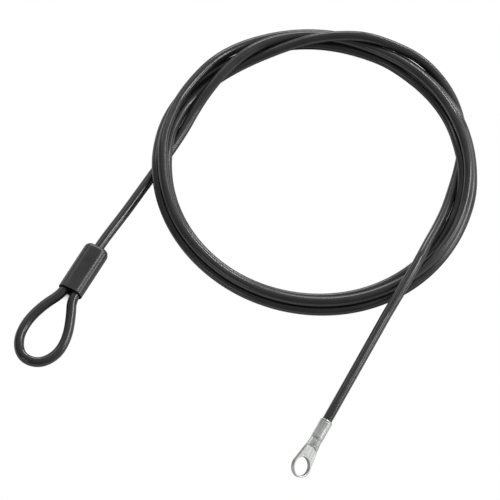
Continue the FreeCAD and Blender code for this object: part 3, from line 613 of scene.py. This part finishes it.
def lug_finish():
    """Bright tin plate: drawn streaks, cloudy marks, dull cut faces, painted shade along its sharp
    edges and in the crease.
    """
    material, tree, shader = new_finish("tin_plate", (0.62, 0.63, 0.62), 0.27, 1.0)
    own_axes = lug_place.to_3x3().inverted()
    own_start = own_axes @ (lug_place.translation + LOOPS_MIDDLE) * -MM
    turn = tuple(own_axes.to_euler())
    coords = node(tree, "TexCoord")
    where = coords.outputs["Object"]
    own = node(tree, "Mapping", {"Vector": where, "Rotation": turn,
                                 "Location": tuple(own_start)}).outputs[0]
    drawn = node(tree, "Mapping", {"Vector": own, "Scale": (90.0, 1500.0, 1500.0)}).outputs[0]
    streaks = grain(tree, drawn, 1.0, 3.0)
    clouds = grain(tree, where, 330.0, 4.0)
    along = node(tree, "SeparateXYZ", {0: own}).outputs["X"]
    on_palm = spread(tree, along, (NECK_END - 1.8) * MM, (NECK_END - 0.8) * MM, 0.0, 1.0)
    past_neck = spread(tree, along, (NECK_END + 1.2) * MM, (NECK_END + 2.0) * MM, 0.0, 1.0)
    facing = node(tree, "Mapping", {"Vector": coords.outputs["Normal"], "Rotation": turn},
                  vector_type="VECTOR")
    upward = node(tree, "SeparateXYZ", {0: facing.outputs[0]}).outputs["Z"]
    flat = node(tree, "Math", {0: upward}, operation="ABSOLUTE").outputs[0]
    sheared = node(tree, "Math", {0: spread(tree, flat, 0.35, 0.75, 1.0, 0.0), 1: past_neck},
                   operation="MULTIPLY")
    sharpness = node(tree, "NewGeometry").outputs["Pointiness"]
    # Painted shade: past the neck, the sharp edges are coloured near black
    painted_edge_light_and_shade = node(tree, "Math", {0: spread(tree, sharpness, 0.52, 0.57, 0.0, 1.0), 1: past_neck},
                  operation="MULTIPLY")
    # Painted shade: the hollow crease where the neck drops to the palm is coloured darker
    hollow = spread(tree, sharpness, 0.44, 0.495, 1.0, 0.0)
    crease = node(tree, "Math", {0: hollow, 1: on_palm}, operation="MULTIPLY")
    plate = blend_colours(tree, spread(tree, streaks, 0.35, 0.65, 0.0, 1.0), (0.44, 0.46, 0.44),
                          (0.66, 0.67, 0.66))
    marked = blend_colours(tree, spread(tree, clouds, 0.5, 0.75, 0.0, 0.6), plate, (0.38, 0.38, 0.36))
    bare = blend_colours(tree, sheared.outputs[0], marked, (0.36, 0.36, 0.35))
    edge_shaded = blend_colours(tree, painted_edge_light_and_shade.outputs[0], bare, (0.09, 0.09, 0.088))
    crease_shaded = blend_colours(tree, crease.outputs[0], edge_shaded, (0.06, 0.064, 0.068))
    tree.links.new(crease_shaded, shader.inputs["Base Color"])
    rough = node(tree, "Math", {0: spread(tree, streaks, 0.3, 0.7, 0.20, 0.34),
                                1: spread(tree, clouds, 0.35, 0.7, -0.03, 0.10)}, operation="ADD")
    tree.links.new(rough.outputs[0], shader.inputs["Roughness"])
    relief(tree, shader, ((streaks, 0.12, 0.06), (clouds, 0.08, 0.10)))
    return material


lug.data.materials.clear()
lug.data.materials.append(lug_finish())

# Floor. A plain pale table: white to the camera but for painted shade in the narrow slits between
# touching strands, white with a painted soft shadow of the object in reflections, and a softer grey to
# the lamps' light.
SLIT_DEPTH = 8.0
SHADOW_REACH = 60.0
TABLE_GREY = (0.30, 0.30, 0.30)
bpy.ops.mesh.primitive_grid_add(x_subdivisions=4, y_subdivisions=4, size=4.0)
floor = added_primitive("floor")
table, tree, shader = new_finish("table", TABLE_GREY, 0.9)
tree.nodes.remove(shader)
matt = node(tree, "BsdfDiffuse", {"Color": (*TABLE_GREY, 1.0)})
white = (1.0, 1.0, 1.0)
black = (0.01, 0.01, 0.01)
# Painted shade: to the camera the floor turns black where touching strands close it in
slit = node(tree, "AmbientOcclusion", {"Distance": SLIT_DEPTH * MM}, samples=16).outputs["AO"]
slit_shaded = blend_colours(tree, spread(tree, slit, 0.14, 0.30, 0.0, 1.0), black, white)
seen = node(tree, "Emission", {"Color": slit_shaded})
shadow = node(tree, "AmbientOcclusion", {"Distance": SHADOW_REACH * MM}, samples=8).outputs["AO"]
shaded = blend_colours(tree, spread(tree, shadow, 0.5, 0.97, 0.0, 1.0), black, white)
reflected = node(tree, "Emission", {"Color": shaded})
path = node(tree, "LightPath").outputs
mirrored = node(tree, "Math", {0: path["Is Glossy Ray"], 1: path["Is Transmission Ray"]},
                operation="MAXIMUM")
under = node(tree, "MixShader", {0: mirrored.outputs[0], 1: matt.outputs[0], 2: reflected.outputs[0]})
mixed = node(tree, "MixShader", {0: path["Is Camera Ray"], 1: under.outputs[0], 2: seen.outputs[0]})
tree.links.new(mixed.outputs[0], tree.nodes["Material Output"].inputs["Surface"])
floor.data.materials.append(table)

# Room and lamps. A pale room, brightest at the back and to the right, soft boxes round from the right
# to the back that draw the bright line along each strand and along the cover's shoulder, and a weak
# one at the front left that lights the cover's lip and the lug's step.
ROOM_BRIGHT = 0.80
ROOM_DARK = 0.30
WINDOWS = (0.62, 0.74, 0.25)
LAMP_DISTANCE = 1.55
world = bpy.data.worlds.new("room")
world.use_nodes = True
scene.world = world
tree = world.node_tree
background = tree.nodes["Background"]
background.inputs["Color"].default_value = (1.0, 1.0, 1.0, 1.0)
way = node(tree, "TexCoord").outputs["Generated"]
facing = node(tree, "VectorMath", {0: way, 1: WINDOWS}, operation="DOT_PRODUCT").outputs["Value"]
room = spread(tree, facing, -0.1, 0.9, ROOM_DARK, ROOM_BRIGHT)
straight = node(tree, "LightPath").outputs["Is Camera Ray"]
strength = node(tree, "Mix", {0: straight, 2: room, 3: 1.0}, data_type="FLOAT").outputs[0]
tree.links.new(strength, background.inputs["Strength"])


def soft_box(name, azimuth, elevation, width, height, power):
    """A rectangular soft lamp that stands in a direction and is turned towards the object."""
    data = bpy.data.lights.new(name, "AREA")
    data.shape = "RECTANGLE"
    data.size = width
    data.size_y = height
    data.energy = power
    lamp = bpy.data.objects.new(name, data)
    scene.collection.objects.link(lamp)
    turn = math.radians(azimuth)
    rise = math.radians(elevation)
    way = Vector((math.cos(turn) * math.cos(rise), math.sin(turn) * math.cos(rise), math.sin(rise)))
    lamp.location = way * LAMP_DISTANCE
    lamp.rotation_euler = (-way).to_track_quat("-Z", "Y").to_euler()


# Each lamp's azimuth and elevation in degrees, its width and height in metres, and its watts
soft_box("shoulder_box", 18.0, 45.0, 0.62, 0.34, 7.4)
soft_box("right_box", -4.0, 17.0, 0.45, 0.14, 3.0)
soft_box("right_back_box", 30.0, 24.0, 0.60, 0.30, 2.2)
soft_box("line_box", 64.0, 20.0, 0.60, 0.13, 5.6)
soft_box("back_box", 92.0, 20.0, 0.55, 0.50, 4.3)
soft_box("left_back_box", 118.0, 36.0, 0.60, 0.45, 1.3)
soft_box("front_left_box", -145.0, 26.0, 0.70, 0.40, 1.8)
soft_box("side_board", -18.0, 6.5, 1.20, 0.30, 0.7)

bpy.context.view_layer.update()
